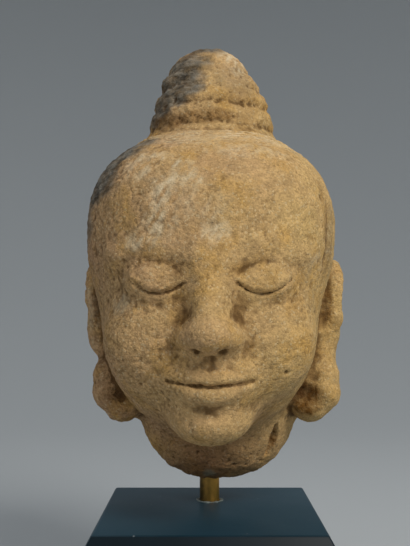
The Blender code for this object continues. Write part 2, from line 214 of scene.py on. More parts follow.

# Dull drawn brass: fine lines along the bar from the drawing die, and a brown tarnish that leaves
# some yellow metal showing. The bar is painted darker on the left and lighter on the right, as
# painted shade and highlight. The real lines are a few hundredths of a millimetre wide, and are
# drawn coarse enough to show.
brass, tree, shader = new_material("dull drawn brass")
DRAWN_LINE = 0.35 * MM
LINE_STRETCH = 25
TARNISH_PATCH = 5 * MM
place = add_node(tree, "ShaderNodeTexCoord").outputs["Object"]
along = add_node(tree, "ShaderNodeMapping", {"Vector": place, "Scale": (1, 1, 1 / LINE_STRETCH)})
lines = add_node(tree, "ShaderNodeTexNoise", {
    "Vector": along.outputs["Vector"], "Scale": 1 / DRAWN_LINE, "Detail": 2.0})
tarnish = add_node(tree, "ShaderNodeTexNoise", {
    "Vector": place, "Scale": 1 / TARNISH_PATCH, "Detail": 5.0, "Roughness": 0.65})
bar_side = add_node(tree, "ShaderNodeSeparateXYZ", {"Vector": place}).outputs["X"]
# Painted shade and highlight: the bar is darker on its left and lighter on its right
left_painted_shade = add_node(tree, "ShaderNodeMapRange", {
    "Value": bar_side, "From Min": 4 * MM, "From Max": -4 * MM, "To Min": -0.5, "To Max": 0.5})
tarnish_and_painted_shade = add_node(tree, "ShaderNodeMath", {
    0: tarnish.outputs["Fac"], 1: left_painted_shade.outputs["Result"]}, operation="ADD", use_clamp=True)
metal = add_node(tree, "ShaderNodeMix", {
    AMOUNT: tarnish_and_painted_shade.outputs["Value"], UNDER: linear("#f0b85a"), OVER: linear("#7a6238")},
    data_type="RGBA")
dullness = add_node(tree, "ShaderNodeMapRange", {
    "Value": tarnish.outputs["Fac"], "To Min": 0.32, "To Max": 0.52})
relief = add_node(tree, "ShaderNodeBump", {
    "Height": lines.outputs["Fac"], "Strength": 0.25, "Distance": 0.05 * MM})
tree.links.new(metal.outputs[MIXED], shader.inputs["Base Color"])
tree.links.new(dullness.outputs["Result"], shader.inputs["Roughness"])
tree.links.new(relief.outputs["Normal"], shader.inputs["Normal"])
shader.inputs["Metallic"].default_value = 1.0
rod.data.materials.append(brass)
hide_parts("brass_rod")
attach(rod, "root")


# Glue bead
# A thin, uneven ring of pale glue that was squeezed out round the rod's foot and has dried
# on the lacquer.
BEAD_RADIUS = 6.1 * MM
BEAD_THICKNESS = 0.8 * MM
BEAD_FLATNESS = 0.6
BEAD_UNEVENNESS = 0.9
BEAD_SWELLINGS = 2.3
bpy.ops.mesh.primitive_torus_add(
    major_radius=BEAD_RADIUS, minor_radius=BEAD_THICKNESS, major_segments=96, minor_segments=16,
    location=(0, rod_y, block_high.z))
bead = bpy.context.object
bead.name = "glue_bead"
bpy.ops.object.transform_apply(location=True, rotation=True, scale=True)
pick(bead, "faces", lambda face: True)
bpy.ops.transform.resize(value=(1, 1, BEAD_FLATNESS))
bpy.ops.mesh.bisect(plane_co=block_high, plane_no=(0, 0, -1), use_fill=True, clear_outer=True)
bpy.ops.object.mode_set(mode="OBJECT")
for vertex in bead.data.vertices:
    radial = Vector((vertex.co.x, vertex.co.y - rod_y, 0))
    outward = max(radial.length - rod_radius - ROD_FIT, 0)
    swell = 1 + BEAD_UNEVENNESS * noise.noise(radial.normalized() * BEAD_SWELLINGS)
    radial.length = rod_radius + ROD_FIT + outward * swell
    vertex.co.x = radial.x
    vertex.co.y = radial.y + rod_y
    vertex.co.z = block_high.z + (vertex.co.z - block_high.z) * swell
bpy.ops.object.shade_smooth_by_angle(angle=math.radians(50))

# Dried glue: milky and half matt, a little grey with dust.
glue, tree, shader = new_material("dried glue")
MILKY_PATCH = 2 * MM
place = add_node(tree, "ShaderNodeTexCoord").outputs["Object"]
milky = add_node(tree, "ShaderNodeTexNoise", {
    "Vector": place, "Scale": 1 / MILKY_PATCH, "Detail": 4.0})
cast = add_node(tree, "ShaderNodeMix", {
    AMOUNT: milky.outputs["Fac"], UNDER: linear("#606b67"), OVER: linear("#9ea79e")},
    data_type="RGBA")
tree.links.new(cast.outputs[MIXED], shader.inputs["Base Color"])
shader.inputs["Roughness"].default_value = 0.5
bead.data.materials.append(glue)
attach(bead, "root")


# Stone head
# Face, cranium, tiered hair knot, ears and the stump of the neck are one piece of fine-grained
# ochre sandstone, carved in the round, then broken off at the neck and worn by weather. Sizes
# and places on it are in millimetres.
CROWN = 184.0
HEAD_WIDTH = 120.0
HEAD_DEPTH = 132.0
HEAD_MIDDLE_Y = 3.0
SKULL_HALF_HEIGHT = 48.0
HEAD_HEIGHT = 1.21 * HEAD_WIDTH
CHIN = CROWN - HEAD_HEIGHT
HAIRLINE = CHIN + 0.86 * HEAD_HEIGHT
FACE_THIRD = (HAIRLINE - CHIN) / 3
EYE_LINE = CHIN + HEAD_HEIGHT / 2
NOSE_BASE = CHIN + FACE_THIRD
BROW = NOSE_BASE + FACE_THIRD
MOUTH_LINE = NOSE_BASE - FACE_THIRD / 3
EYE_WIDTH = HEAD_WIDTH / 5.2
MOUTH_WIDTH = 1.55 * EYE_WIDTH
FACE_FRONT_Y = -63.0
KNOT_X = 0.8
KNOT_Y = 5.0
HEAD_BELOW_BLOCK_TOP = 1.5
head_level = block_high.z / MM - HEAD_BELOW_BLOCK_TOP
head_low, head_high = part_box("stone_head")
NECK_BOTTOM = head_low.z / MM - head_level
KNOT_TOP = head_high.z / MM - head_level


class Form:
    """A simple solid: its distance function, and a ball that holds all of it."""

    def __init__(self, distance, centre, reach):
        self.distance = distance
        self.centre = np.array(centre, float)
        self.reach = reach


def ellipsoid(centre, radii, power=2.0):
    """An ellipsoid, squarer where the power is over 2."""
    middle = np.array(centre, float)
    size = np.array(radii, float)

    def distance(p):
        q = np.maximum(np.abs(p - middle) / size, 1e-6)
        scale = np.sum(q ** power, axis=1) ** (1 / power)
        slope = scale ** (1 - power) * np.linalg.norm(q ** (power - 1) / size, axis=1)
        return (scale - 1) / slope

    return Form(distance, middle, max(radii))


def bar(points, radii):
    """A round-ended bar that follows a row of points, each with its own radius."""
    ends = np.array(points, float)
    middle = (ends.min(axis=0) + ends.max(axis=0)) / 2

    def distance(p):
        nearest = np.full(len(p), np.inf)
        for start, end, r0, r1 in zip(ends[:-1], ends[1:], radii[:-1], radii[1:]):
            along = end - start
            t = np.clip((p - start) @ along / (along @ along), 0, 1)
            gap = np.linalg.norm(p - start - t[:, None] * along, axis=1)
            nearest = np.minimum(nearest, gap - (r0 + (r1 - r0) * t))
        return nearest

    return Form(distance, middle, np.linalg.norm(ends - middle, axis=1).max() + max(radii))


# Points farther than this outside a form and its blend aren't touched by it
FORM_MARGIN = 3.0


class Clay:
    """Points in space, with their distance to a surface that forms are pressed on or cut from."""

    def __init__(self, points, form):
        self.points = points
        self.distance = form.distance(points)

    def add(self, form, blend, sign=1):
        """Press a form on, its joint rounded over about the blend width."""
        away = np.linalg.norm(self.points - form.centre, axis=1)
        near = away < form.reach + blend + FORM_MARGIN
        clay = sign * self.distance[near]
        other = form.distance(self.points[near])
        h = np.clip(0.5 + 0.5 * (clay - other) / blend, 0, 1)
        self.distance[near] = sign * (clay * (1 - h) + other * h - blend * h * (1 - h))

    def cut(self, form, blend):
        """Take a form out, its edge rounded over about the blend width."""
        self.add(form, blend, sign=-1)

    def lift(self, height):
        """Raise or sink the surface by a height given at each point."""
        self.distance -= height


def fade(value, start, end):
    """0 before start and 1 after end, smoothly between."""
    t = np.clip((value - start) / (end - start), 0, 1)
    return t * t * (3 - 2 * t)


def ridge(offset, width):
    """1 on a line and falling to 0 beside it, over about the given width."""
    return np.exp(-(offset / width) ** 2)


def model_masses(points):
    """Cranium, cheeks, jaw and neck, without the features."""
    skull = ellipsoid((0.4, HEAD_MIDDLE_Y, CROWN - SKULL_HALF_HEIGHT),
                      (HEAD_WIDTH / 2, HEAD_DEPTH / 2, SKULL_HALF_HEIGHT), 2.45)
    mask_z = CHIN + 58
    clay = Clay(points, skull)
    clay.add(ellipsoid((0, -6, mask_z), (52, -8 - FACE_FRONT_Y, mask_z - CHIN), 2.2), 12)
    clay.add(ellipsoid((0, 16, CROWN - 68), (53, 50, 44)), 14)
    clay.add(ellipsoid((4.2, 16, 62), (40.7, 33, 62 - NECK_BOTTOM), 2.35), 8)
    clay.add(ellipsoid((0, -46.0, CHIN + 11.5), (17, 16.5, 11.5)), 14)
    return clay


def model_eye(clay, side):
    """A closed eye: hollow under the brow, heavy lid, and the line where the lids meet."""
    clay.cut(ellipsoid((side * EYE_WIDTH * 0.96, -71, EYE_LINE + 6), (16, 9.5, 8.5)), 7)
    clay.add(ellipsoid((side * EYE_WIDTH, -49.6, EYE_LINE - 0.5), (14.2, 12.4, 9.8)), 4)
    x, y, z = clay.points.T
    t = (side * x - EYE_WIDTH) / (EYE_WIDTH / 2)
    here = fade(np.abs(t), 1.12, 0.95) * fade(y, -44, -48)
    meeting = EYE_LINE - 1.2 + 0.9 * t - 5.2 * np.clip(1 - t * t, 0, 1)
    fold = EYE_LINE + 1.6 + 0.5 * t + 6.0 * np.clip(1 - t * t, 0, 1)
    clay.lift(here * (0.55 * ridge(z - meeting - 1.8, 1.3) - 1.3 * ridge(z - meeting, 0.9)
                      + 0.3 * ridge(z - meeting + 1.9, 1.2) - 0.25 * ridge(z - fold, 1.3)))


def model_brow(clay, side):
    """The brow: a soft arch from the bridge of the nose over the eye to the temple."""
    points = []
    steps = np.linspace(0, 1, 11)
    for t in steps:
        x = 4 + 1.7 * EYE_WIDTH * t
        z = BROW - 4 + 7 * math.sin(math.pi * (0.10 + 0.72 * t))
        y = FACE_FRONT_Y + 4.2 + 18 * (x / 50) ** 2.3
        points.append((side * x, y, z))
    clay.add(bar(points, [2.6 - 2.0 * t for t in steps]), 8)


def model_nose(clay):
    """The nose: bridge, tip, wings and the two nostrils under them."""
    clay.add(bar([(0, -57.0, EYE_LINE + 10), (0, -61.2, EYE_LINE - 3), (0, -68.8, NOSE_BASE + 9)],
                 [5.6, 6.4, 7.6]), 10)
    for side in (-1, 1):
        clay.add(ellipsoid((side * 8.2, -63.4, NOSE_BASE + 5.4), (5.2, 7.8, 4.8)), 7)
    clay.add(ellipsoid((0, -70.6, NOSE_BASE + 6.4), (7.2, 7.6, 5.6)), 6)
    for side in (-1, 1):
        clay.cut(ellipsoid((side * 5.4, -68.5, NOSE_BASE - 0.2), (2.8, 4.4, 2.4)), 1.8)


def model_mouth(clay):
    """The mouth: closed lips, the hollow above them and the crease over the chin."""
    half = MOUTH_WIDTH / 2
    clay.add(ellipsoid((0, -56.0, MOUTH_LINE + 2), (19, 9.5, 12.5)), 9)
    steps = np.linspace(-1, 1, 17)
    fullness = [1.0 + 2.2 * math.cos(t * math.pi / 2) for t in steps]
    bow = [0.8 * math.exp(-(t / 0.16) ** 2) for t in steps]
    upper = [(half * t, -65.2 + 8.0 * t * t, MOUTH_LINE + 2.6 * (1 - t * t) + 0.9 * t * t - dip)
             for t, dip in zip(steps, bow)]
    lower = [(0.84 * half * t, -64.4 + 6.5 * t * t, MOUTH_LINE - 4.2 * (1 - t * t) - 0.4)
             for t in steps]
    clay.add(bar(upper, fullness), 2.5)
    clay.add(bar(lower, [r * 1.3 for r in fullness]), 3)
    x, y, z = clay.points.T
    t = x / half
    here = fade(np.abs(t), 1.15, 0.98) * fade(y, -44, -50)
    meeting = MOUTH_LINE - 0.4 + 1.7 * t * t - 0.5 * ridge(t, 0.16)
    clay.lift(here * -1.6 * ridge(z - meeting, 1.1))
    clay.lift(-0.35 * ridge(x, 3.4) * fade(z, MOUTH_LINE + 4, MOUTH_LINE + 7)
              * fade(z, NOSE_BASE + 1, NOSE_BASE - 2) * fade(y, -50, -56))
    clay.lift(-1.4 * ridge(np.hypot(x / 1.6, z - MOUTH_LINE + 12), 4.2) * fade(y, -44, -52))


# The ears, whose rims, waists and lobes stand out by their own spread on the left and the right
EAR_TOP = 124.0
EAR_WAIST = 74.0
EAR_HALF_WIDTH = 16.0
EAR_MIDDLE_Y = 8.0
LOBE_BOTTOM = 43.5
EAR_SPREAD = {-1: 64.5, 1: 68.5}
WAIST_SPREAD = {-1: 56.8, 1: 64.3}
LOBE_SPREAD = {-1: 57.2, 1: 63.6}
CLEFT_SPREAD = {-1: 54.4, 1: 56.8}
EAR_LEAN = 0.10
EAR_RING_STEPS = 16


def model_ear(clay, side):
    """One ear left standing from the block: rim, inner fold, hollow, and a long heavy lobe."""
    spread = EAR_SPREAD[side]
    waist = WAIST_SPREAD[side]
    lobe = LOBE_SPREAD[side]
    middle = (EAR_TOP + EAR_WAIST) / 2
    half_height = (EAR_TOP - EAR_WAIST) / 2

    def spot(x, y, z):
        return (side * x, y + EAR_LEAN * (z - middle), z)

    def ring(scale, first, last, lift, radius):
        points = []
        for turn in np.radians(np.linspace(first, last, EAR_RING_STEPS + 1)):
            flare = (0.5 + 0.5 * math.cos(turn - 0.9)) * (1 - 0.6 * fade(math.sin(turn), 0.72, 1.0))
            x = waist - radius + (spread - waist) * flare + lift
            points.append(spot(x, EAR_MIDDLE_Y + scale * (EAR_HALF_WIDTH - 3) * math.cos(turn),
                               middle + scale * (half_height - 3) * math.sin(turn)))
        taper = [radius * (0.55 + 0.45 * math.sin(math.pi * step / EAR_RING_STEPS) ** 0.5)
                 for step in range(EAR_RING_STEPS + 1)]
        return bar(points, taper)

    clay.add(ellipsoid(spot(spread - 11, EAR_MIDDLE_Y, middle),
                       (8.5, EAR_HALF_WIDTH - 1, half_height - 1), 2.4), 3)
    clay.add(ellipsoid(spot(waist - 8, EAR_MIDDLE_Y, EAR_WAIST - 6), (7, 10, 18)), 3)
    clay.cut(ellipsoid(spot(spread, EAR_MIDDLE_Y - 1, middle), (7, 9, 16)), 2)
    clay.add(ring(scale=1.0, first=205, last=-65, lift=0, radius=3.0), 1.5)
    clay.add(ring(scale=0.55, first=75, last=-80, lift=-0.5, radius=2.2), 1.5)
    clay.add(ellipsoid(spot(waist - 3.5, EAR_MIDDLE_Y - 12, middle - 4), (4.5, 4, 5.5)), 2)
    clay.add(ellipsoid(spot(lobe - 7.5, 2, 66), (7.5, 11, 9)), 2)
    clay.add(ellipsoid(spot(lobe - 8.5, 1, LOBE_BOTTOM + 15), (8.5, 12, 9)), 1.6)
    clay.add(ellipsoid(spot(lobe - 15, 1, LOBE_BOTTOM + 10), (9.5, 11, 9.5)), 3)
    clay.add(ellipsoid((side * 38, 14, 60), (15, 13, 15)), 6)
    clay.add(bar([(side * (waist - 10), 0, 88), (side * (lobe - 14), 2, 62)], [7, 8]), 4)
    clay.cut(bar([spot(waist + 1, EAR_MIDDLE_Y, EAR_WAIST + 3),
                  spot(lobe + 1, EAR_MIDDLE_Y - 3, 60)], [2.6, 2.6]), 2)
    cleft = CLEFT_SPREAD[side]
    clay.cut(bar([(side * cleft, -8.5, 121), (side * cleft, -7, 111), (side * (cleft - 0.8), -9.5, 90)],
                 [1.0, 3.0, 1.8]), 2)


def head_distance(points):
    """Distance in millimetres from points to the surface of the head, negative inside."""
    clay = model_masses(points)
    for side in (-1, 1):
        clay.add(ellipsoid((side * 26, -42, NOSE_BASE + 3), (19, 14, 19)), 14)
        model_eye(clay, side)
        model_brow(clay, side)
    model_nose(clay)
    model_mouth(clay)
    for side in (-1, 1):
        model_ear(clay, side)
    clay.add(ellipsoid((KNOT_X, KNOT_Y, 171), (39.5, 39.5, 16.5), 2.3), 5)
    return clay.distance


def mesh_points(piece):
    """The piece's vertices in millimetres, with heights above the head's level."""
    points = np.empty(len(piece.data.vertices) * 3)
    piece.data.vertices.foreach_get("co", points)
    return points.reshape(-1, 3) / MM - (0, 0, head_level)


def set_mesh_points(piece, points):
    """Gives the piece its vertices, from millimetres above the head's level."""
    piece.data.vertices.foreach_set("co", ((points + (0, 0, head_level)) * MM).ravel())
    piece.data.update()


def mesh_normals(piece):
    """The direction that the skin faces at each vertex."""
    normals = np.empty(len(piece.data.vertices) * 3)
    piece.data.vertex_normals.foreach_get("vector", normals)
    return normals.reshape(-1, 3)


# A ray starts beyond the ears and steps inwards, by a share of its distance to the clay
WRAP_REACH = 130.0
WRAP_SHARE = 0.75
SHORTEST_STEP = 0.4
LONGEST_STEP = 3.0
HALVINGS = 7


def wrap_on_clay(vertices, centre):
    """Vertices moved along their rays from the centre to the outermost surface of the clay."""
    rays = vertices - centre
    rays /= np.linalg.norm(rays, axis=1)[:, None]
    outer = np.full(len(rays), WRAP_REACH)
    inner = np.full(len(rays), 0.0)
    open_rays = np.arange(len(rays))
    while len(open_rays):
        gap = head_distance(centre + rays[open_rays] * outer[open_rays, None])
        hit = gap <= 0
        inner[open_rays[hit]] = outer[open_rays[hit]]
        outer[open_rays[hit]] = inner[open_rays[hit]] + LONGEST_STEP
        open_rays = open_rays[~hit]
        outer[open_rays] -= np.clip(WRAP_SHARE * gap[~hit], SHORTEST_STEP, LONGEST_STEP)
    for _ in range(HALVINGS):
        middle = (inner + outer) / 2
        outside = head_distance(centre + rays * middle[:, None]) > 0
        outer = np.where(outside, middle, outer)
        inner = np.where(outside, inner, middle)
    return centre + rays * outer[:, None]


GLOBE_SEGMENTS = 220
GLOBE_RADIUS = 100.0
GLOBE_CENTRE = np.array((0.0, 2.0, 100.0))
bpy.ops.mesh.primitive_uv_sphere_add(
    segments=GLOBE_SEGMENTS, ring_count=GLOBE_SEGMENTS * 3 // 4, radius=GLOBE_RADIUS * MM)
head = bpy.context.object
head.name = "carved_head"
globe_points = mesh_points(head) + (0, 0, head_level) + GLOBE_CENTRE
set_mesh_points(head, wrap_on_clay(globe_points, GLOBE_CENTRE))

# The hair knot: tiers from the bottom up, each with its base height, base radius and top radius.
# Its foot spreads onto the crown, and its upper part leans a little to the viewer's left.
KNOT_TIERS = (
    (187.0, 31.5, 28.6),
    (197.4, 29.2, 24.5),
    (207.0, 25.2, 21.5),
)
KNOT_CAP_BASE = 215.6
KNOT_CAP_RADIUS = 21.1
KNOT_TIER_SHRINK = 0.4
KNOT_FOOT = (174.0, 178.0, 181.5, 185.0)
KNOT_FOOT_RADII = (42.0, 38.5, 34.2, 32.0)
KNOT_GROOVE_DEPTHS = (0.9, 1.9, 1.2, 1.1)
KNOT_GROOVE_HEIGHT = 1.5
KNOT_LOCKS = 19
KNOT_LOCK_DEPTH = 0.5
KNOT_LEAN = -1.3
KNOT_GLOBE_RADIUS = 30.0


def knot_radius(height, angle):
    """Radius of the hair knot. Its grooves are worn away in front, except for the second."""
    levels = [base for base, _, _ in KNOT_TIERS] + [KNOT_CAP_BASE]
    plain_radii = [base_radius - KNOT_TIER_SHRINK for _, base_radius, _ in KNOT_TIERS]
    plain = np.interp(height, list(KNOT_FOOT) + levels,
                      list(KNOT_FOOT_RADII) + plain_radii + [KNOT_CAP_RADIUS])
    t = np.clip((height - KNOT_CAP_BASE) / (KNOT_TOP - KNOT_CAP_BASE), 0, 1)
    cap = KNOT_CAP_RADIUS * (1 - t ** 1.35) ** 0.44
    plain = np.where(height > KNOT_CAP_BASE, cap, plain)
    front = -np.sin(angle)
    sides = fade(np.abs(np.cos(angle)), 0.55, 0.85)
    sides = np.maximum(sides, 0.7 * fade(front, 0.1, -0.3))
    wander = 0.8 * np.sin(3 * angle + 1.0) + 0.5 * np.sin(7 * angle)
    lock = np.abs(np.cos(KNOT_LOCKS * angle / 2)) * (0.55 + 0.45 * np.sin(5 * angle + 2))
    radius = plain.copy()
    for index, (level, base_radius, top_radius) in enumerate(KNOT_TIERS):
        shown = sides if index == 2 else np.ones(len(height))
        within = (height >= level) & (height < levels[index + 1])
        t = np.clip((height - level) / (levels[index + 1] - level), 0, 1)
        stepped = base_radius + (top_radius - base_radius) * t ** 1.6
        radius = np.where(within, radius + (stepped - radius) * shown, radius)
    for index, level in enumerate(levels):
        shown = 1.0 if index == 1 else sides
        if index == 0:
            shown = 0.35 + 0.65 * sides
        edge = height - level - 0.8 * lock - 0.4 * wander
        radius -= shown * KNOT_GROOVE_DEPTHS[index] * ridge(edge, KNOT_GROOVE_HEIGHT)
    return radius + KNOT_LOCK_DEPTH * lock * fade(height, 186, 189) * fade(height, 216, 210)


bpy.ops.mesh.primitive_uv_sphere_add(
    segments=240, ring_count=192, radius=KNOT_GLOBE_RADIUS * MM)
knot = bpy.context.object
points = mesh_points(knot) + (0, 0, head_level)
angle = np.arctan2(points[:, 1], points[:, 0])
level = np.arccos(np.clip(-points[:, 2] / KNOT_GLOBE_RADIUS, -1, 1)) / math.pi
height = KNOT_FOOT[0] + (KNOT_TOP - KNOT_FOOT[0]) * level
radius = knot_radius(height, angle)
radius[level < 0.001] = 0
lean = KNOT_LEAN * fade(height, 206, 214) * fade(height, 231, 226)
set_mesh_points(knot, np.column_stack((
    KNOT_X + lean + radius * np.cos(angle), KNOT_Y + radius * np.sin(angle), height)))

head.select_set(True)
knot.select_set(True)
bpy.context.view_layer.objects.active = head
bpy.ops.object.join()

# Globe and knot are melted into one skin, and the skin is pressed back onto the clay, except on
# the knot and its foot. A second melting evens out the skin where it was pulled into a hollow.
SKIN_VOXEL = 0.8
PRESS_REACH = 8.0
PRESS_ROUNDS = (3, 2)
SLOPE_STEP = 0.2
for rounds in PRESS_ROUNDS:
    remesh = head.modifiers.new("one skin", "REMESH")
    remesh.mode = "VOXEL"
    remesh.voxel_size = SKIN_VOXEL * MM
    smooth = head.modifiers.new("softened", "SMOOTH")
    smooth.factor = 0.5
    smooth.iterations = 2
    apply_modifiers(head)
    for _ in range(rounds):
        points = mesh_points(head)
        gap = head_distance(points)
        slope = np.column_stack([head_distance(points + step) - gap for step in np.eye(3) * SLOPE_STEP])
        slope /= np.linalg.norm(slope, axis=1)[:, None] + 1e-9
        hold = np.clip(PRESS_REACH - np.abs(gap), 0, 1) * fade(points[:, 2], 175, 170)
        set_mesh_points(head, points - slope * (gap * hold)[:, None])


# The folds left in the crevice between jaw and right lobe are eased away
CREVICE = (48.5, -9.0, 68.0)
CREVICE_REACH = 9.0
CREVICE_ROUNDS = 40
folded = np.linalg.norm(mesh_points(head) - CREVICE, axis=1) < CREVICE_REACH
head.vertex_groups.new(name="crevice").add(np.flatnonzero(folded).tolist(), 1.0, "REPLACE")
eased = head.modifiers.new("eased", "SMOOTH")
eased.vertex_group = "crevice"
eased.iterations = CREVICE_ROUNDS
apply_modifiers(head)


def lumps(points, size, octaves, seed):
    """Fractal noise at each point, from about -1 to 1, its largest lumps about size wide."""
    shift = Vector((seed * 13.7, seed * 7.9, seed * 3.1))
    return np.array([noise.fractal(Vector(p) + shift, 1.0, 2.0, octaves) for p in points / size])


# Weathering is cut into the skin along its normals: broad, middling and fine lumps all over,
# higher on the knot and on the left, a rough break at the neck, and a rotted band on the knot
BROAD_LUMP = 28.0
BROAD_HEIGHT = 0.40
MIDDLING_LUMP = 6.0
MIDDLING_HEIGHT = 0.30
FINE_LUMP = 2.2
FINE_HEIGHT = 0.24
BREAK_LUMP = 7.0
BREAK_HEIGHT = 0.8
ROTTED_LUMP = 4.0
ROTTED_LEVEL = 189.0
ROTTED_WIDTH = 2.4
points = mesh_points(head)
normals = mesh_normals(head)
x, y, z = points.T
neck_break = fade(z, 40, 22)
on_knot = fade(z, 184, 188)
on_left = fade(x, 5, -35)
raised = BROAD_HEIGHT * lumps(points, BROAD_LUMP, 2, 1)
raised += (MIDDLING_HEIGHT + 0.22 * on_knot + 0.14 * on_left) * lumps(points, MIDDLING_LUMP, 3, 2)
raised += (FINE_HEIGHT + 0.08 * on_knot + 0.14 * on_left) * lumps(points, FINE_LUMP, 2, 3)
raised += neck_break * BREAK_HEIGHT * lumps(points, BREAK_LUMP, 4, 4)
rotted = ridge(z - ROTTED_LEVEL, ROTTED_WIDTH) * fade(y, -16, -20) * fade(np.abs(x + 3), 22, 10)
raised -= rotted * (0.8 + 0.9 * lumps(points, ROTTED_LUMP, 4, 10))

# Rings round the knot, left on the crown by the carver's rubbing stone
RING_SPACING = 2.6
RING_HEIGHT = 0.30
RING_LIME = 1.2


def rings_at(points):
    """Height of the rings at each point, from -1 to 1."""
    from_knot = np.hypot(points[:, 0] - KNOT_X, points[:, 1] - KNOT_Y)
    band = fade(from_knot, 34, 38) * fade(from_knot, 58, 46) * fade(points[:, 2], 160, 166)
    phase = from_knot / RING_SPACING + 0.8 * lumps(points, 16.0, 1, 5)
    return band * np.sin(2 * math.pi * phase) * fade(lumps(points, 14.0, 2, 8), -0.35, 0.3)


raised += RING_HEIGHT * rings_at(points)

# The edge of the hair at each temple: a cut line with the hair standing behind it, half worn away
# on the left
TEMPLE_EDGE_Y = -35.0
HAIR_STEP = 0.8
HAIR_CUT = 0.7
LEFT_TEMPLE_SHARE = 0.5
from_edge = y - TEMPLE_EDGE_Y + 0.9 * lumps(points, 12.0, 2, 7)
temple = fade(np.abs(x), 42, 47) * fade(z, 110, 122) * fade(z, 158, 146)
temple *= np.where(x > 0, 1.0, LEFT_TEMPLE_SHARE)
raised += temple * (HAIR_STEP * fade(from_edge, -1.5, 2.5) * fade(from_edge, 26, 8)
                    - HAIR_CUT * ridge(from_edge, 1.7))
points = points + normals * raised[:, None]


def pit(points, normals, centre, radius, depth):
    """A small rounded hole sunk into the skin."""
    gap = np.linalg.norm(points - centre, axis=1)
    near = gap < radius
    points[near] -= normals[near] * (depth * (1 - (gap[near] / radius) ** 2) ** 2)[:, None]


# Holes that show singly, with their radius and depth. The last two lie between jaw and lobes.
HOLES = (
    ((50.5, -39.0, 148.6), 2.4, 1.8),
    ((33.0, -53.0, 70.9), 1.9, 1.2),
    ((36.0, -51.0, 73.5), 1.4, 0.9),
    ((-30.4, -50.3, 65.5), 1.8, 1.0),
    ((-12.1, -56.3, 53.7), 1.6, 0.9),
    ((-16.3, -16.5, 199.5), 2.0, 1.4),
    ((15.9, -19.3, 196.6), 2.2, 1.5),
    ((46.0, -12.0, 57.0), 8.0, 3.4),
    ((-42.5, -13.0, 57.0), 7.0, 3.0),
)
for centre, hole_radius, depth in HOLES:
    pit(points, normals, np.array(centre), hole_radius, depth)

# Scattered pits where grains have dropped out, most on the knot and the neck
PITS = 700
PIT_RADII = (0.9, 1.6)
PIT_DEPTHS = (0.3, 1.1)
random = np.random.default_rng(11)
likely = 0.10 + 6 * rotted + 0.8 * on_knot + 0.8 * fade(z, 60, 40) + 0.2 * fade(x, 0, -40)
chosen = random.choice(len(points), PITS, replace=False, p=likely / likely.sum())
for index in chosen:
    deep = 0.35 + 0.65 * min(1.0, rotted[index] + on_knot[index] * 0.3 + neck_break[index] * 0.5)
    pit(points, normals, points[index].copy(),
        random.uniform(*PIT_RADII), deep * random.uniform(*PIT_DEPTHS))

# A slot in the neck's side, where a seam in the stone has opened, as places with half widths
SLOT = (((31.8, -7.9, 43.5), 0.4), ((30.8, -6.2, 37.0), 1.8), ((27.6, -3.2, 28.0), 0.4))
SLOT_DEPTH = 7.5
slot_line = bar([place for place, _ in SLOT], [width for _, width in SLOT])
gap = slot_line.distance(points)
points -= normals * (SLOT_DEPTH * fade(gap, 0.9, -0.3))[:, None]
set_mesh_points(head, points)

HEAD_TRIANGLES = 195000
present = sum(len(polygon.vertices) - 2 for polygon in head.data.polygons)
thin = head.modifiers.new("fewer where plain", "DECIMATE")
thin.ratio = HEAD_TRIANGLES / present
apply_modifiers(head)
drill(head, rod_radius + ROD_FIT, head_low.z - DRILL_OVERRUN, rod_high.z + ROD_FIT)
bpy.ops.object.shade_smooth_by_angle(angle=math.radians(70))


def hollows(piece, rounds):
    """How far each vertex lies below the skin round it, in millimetres."""
    points = mesh_points(piece)
    ends = np.empty(len(piece.data.edges) * 2, np.int32)
    piece.data.edges.foreach_get("vertices", ends)
    first, second = ends[0::2], ends[1::2]
    count = np.bincount(ends, minlength=len(points))
    eased = points.copy()
    for _ in range(rounds):
        sums = [np.bincount(first, eased[second, axis], len(points))
                + np.bincount(second, eased[first, axis], len(points)) for axis in range(3)]
        eased = np.column_stack(sums) / count[:, None]
    return ((eased - points) * mesh_normals(piece)).sum(axis=1)


def stain(points, spots, ragged):
    """How strongly a stain covers each point, from 0 to 1, with a ragged edge."""
    cover = np.zeros(len(points))
    for centre, size, strength in spots:
        gap = np.linalg.norm((points - centre) / size, axis=1)
        cover = np.maximum(cover, strength * fade(gap + ragged, 1.15, 0.6))
    return cover


def paint(piece, name, values):
    """Keeps a value for each vertex on the piece, for its material to read."""
    attribute = piece.data.attributes.new(name, "FLOAT", "POINT")
    attribute.data.foreach_set("value", values.astype(np.float32))


# Grey-black soot, most of it on the left of the cranium and knot, as centre, size and strength.
# The faint spot on the right of the knot is painted shade, darkening it where the key lamp is strongest
SOOT_AND_SHADE = (
    ((-52, -22, 164), (20, 30, 20), 1.1),
    ((-42, -27, 172), (17, 22, 11), 1.1),
    ((-33, -31, 175), (13, 14, 5), 0.9),
    ((-48, -38, 160), (10, 12, 13), 0.9),
    ((-58, -8, 146), (10, 34, 26), 0.8),
    ((-16, -14, 208), (15, 20, 16), 1.0),
    ((-14, -8, 213), (17, 20, 18), 1.0),
    ((-3, -8, 229), (13, 14, 6), 1.1),
    # Painted shade: this faint spot darkens the right of the knot under the key lamp
    ((11, -14, 209), (13, 13, 10), 0.3),
    ((-25, -6, 196), (16, 20, 10), 1.0),
    ((-10, 30, 190), (30, 26, 30), 0.6),
    ((56, -34, 128), (6, 5, 26), 0.35),
)
